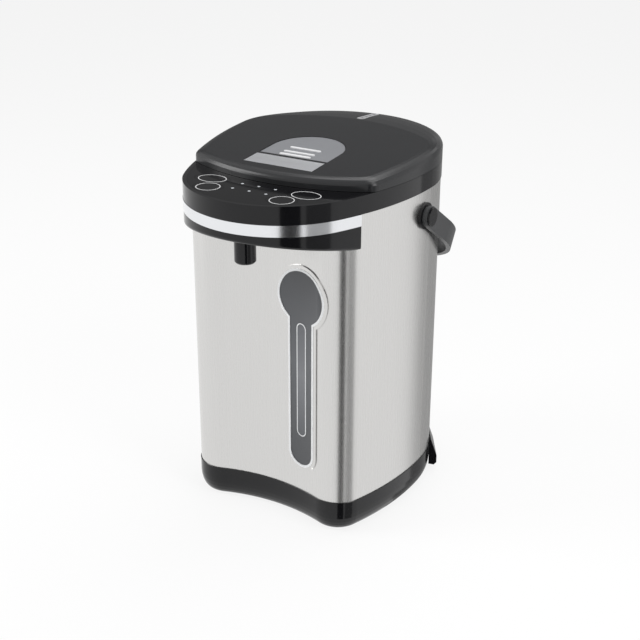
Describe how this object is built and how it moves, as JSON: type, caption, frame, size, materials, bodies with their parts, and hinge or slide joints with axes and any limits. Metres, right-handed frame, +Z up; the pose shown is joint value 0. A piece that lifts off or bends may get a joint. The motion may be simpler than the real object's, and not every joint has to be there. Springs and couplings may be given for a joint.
{
  "type": "electric thermo pot",
  "caption": "Electric thermo pot with a brushed steel body, beaked collar with keys and spout, level gauge, hinged lid with press latch and a carrying bail.",
  "frame": {"origin": "on the surface it stands on, under the middle of the whole pot with its bail at rest", "axes": "+Z up, -Y to the front where the beak and spout are, +X to the right as seen from the front"},
  "size_m": [0.2562, 0.3326, 0.3953],
  "materials": {
    "gloss_black": "moulded black, glossy",
    "matt_black": "moulded black, matt",
    "panel_gloss": "mirror-gloss black",
    "lid_charcoal": "charcoal, soft gloss",
    "satin_grey": "dark grey, satin",
    "vent_grey": "grey, satin",
    "brushed_steel": "brushed upright",
    "pot_steel": "polished inside",
    "steel_parts": "plain",
    "band_silver": "satin chrome",
    "plate_silver": "brushed",
    "pad_grey": "mid grey, fine grain",
    "bar_white": "white",
    "gauge_white": "pale",
    "gauge_smoke": "smoke grey",
    "glass": "clear",
    "lamp_clear": "clear",
    "rubber": "matt",
    "silicone": "translucent white",
    "board_green": "solder mask"
  },
  "bodies": {
    "pot": {"bail_pivots": "gloss_black", "base_housing": "gloss_black", "beak_lip": "gloss_black", "bottom_cover": "matt_black", "bottom_screws": "steel_parts", "collar": "gloss_black", "control_board": "board_green", "control_panel": "panel_gloss", "gauge_frame": "gauge_white", "gauge_window": "gauge_smoke", "heater_band": "steel_parts", "heater_plate": "steel_parts", "hinge_pin": "steel_parts", "inlet_pins": "steel_parts", "inner_pot": "pot_steel", "lamp_lenses": "lamp_clear", "pot_seal": "silicone", "pot_support": "matt_black", "power_board": "board_green", "power_inlet": "gloss_black", "pump_housing": "matt_black", "pump_motor": "steel_parts", "riser_pipe": "silicone", "rubber_feet": "rubber", "sight_tube": "glass", "spout_nozzle": "gloss_black", "steel_shell": "brushed_steel", "thermal_fuse": "silicone", "thermostat": "matt_black", "trim_band": "band_silver", "tube_elbows": "silicone"},
    "lid": {"latch_pin": "steel_parts", "latch_plate": "plate_silver", "latch_posts": "matt_black", "latch_spring": "steel_parts", "lid_base": "matt_black", "lid_cover": "lid_charcoal", "lid_gasket": "silicone", "lid_liner": "pot_steel", "spring_stop": "matt_black", "steam_float": "matt_black", "steam_vent": "vent_grey"},
    "press_pad": {"press_pad": "pad_grey", "grip_bars": "bar_white"},
    "latch_bolt": {"latch_bolt": "matt_black"},
    "bail": {"bail": "satin_grey", "pivot_caps": "gloss_black"},
    "impeller": {"pump_impeller": "matt_black"},
    "reboil_key": {"reboil_key": "panel_gloss"},
    "unlock_key": {"unlock_key": "panel_gloss"},
    "select_key": {"select_key": "panel_gloss"},
    "dispense_key": {"dispense_key": "panel_gloss"}
  },
  "joints": [
    {"name": "lid_hinge", "type": "hinge", "parent": "pot", "child": "lid", "pos_m": [0, 0.1364, 0.3742], "axis": [-1, 0, 0], "range_deg": [0, 85]},
    {"name": "bail_swing", "type": "hinge", "parent": "pot", "child": "bail", "pos_m": [0, 0.0169, 0.326], "axis": [1, 0, 0], "range_deg": [0, 123]},
    {"name": "pad_press", "type": "hinge", "parent": "lid", "child": "press_pad", "pos_m": [0, 0.01134, 0.38398], "axis": [1, 0, 0], "range_deg": [0, 4], "stiffness_Nm_per_rad": 0.6, "springref_deg": -2.86},
    {"name": "bolt_slide", "type": "slide", "parent": "lid", "child": "latch_bolt", "axis": [0, 1, 0], "range_m": [0, 0.0032]},
    {"name": "impeller_spin", "type": "hinge", "parent": "pot", "child": "impeller", "pos_m": [0, -0.0071, 0.0465], "axis": [0, 0, 1], "continuous": true},
    {"name": "reboil_key_press", "type": "slide", "parent": "pot", "child": "reboil_key", "axis": [0, 0, -1], "range_m": [0, 0.0008], "stiffness_N_per_m": 400, "springref_m": -0.0002},
    {"name": "unlock_key_press", "type": "slide", "parent": "pot", "child": "unlock_key", "axis": [0, 0, -1], "range_m": [0, 0.0008], "stiffness_N_per_m": 400, "springref_m": -0.0002},
    {"name": "select_key_press", "type": "slide", "parent": "pot", "child": "select_key", "axis": [0, 0, -1], "range_m": [0, 0.0008], "stiffness_N_per_m": 400, "springref_m": -0.0002},
    {"name": "dispense_key_press", "type": "slide", "parent": "pot", "child": "dispense_key", "axis": [0, 0, -1], "range_m": [0, 0.0008], "stiffness_N_per_m": 400, "springref_m": -0.0002}
  ],
  "couplings": [
    {"joint": "bolt_slide", "follows": "pad_press", "m_per_rad": 0.045837}
  ]
}
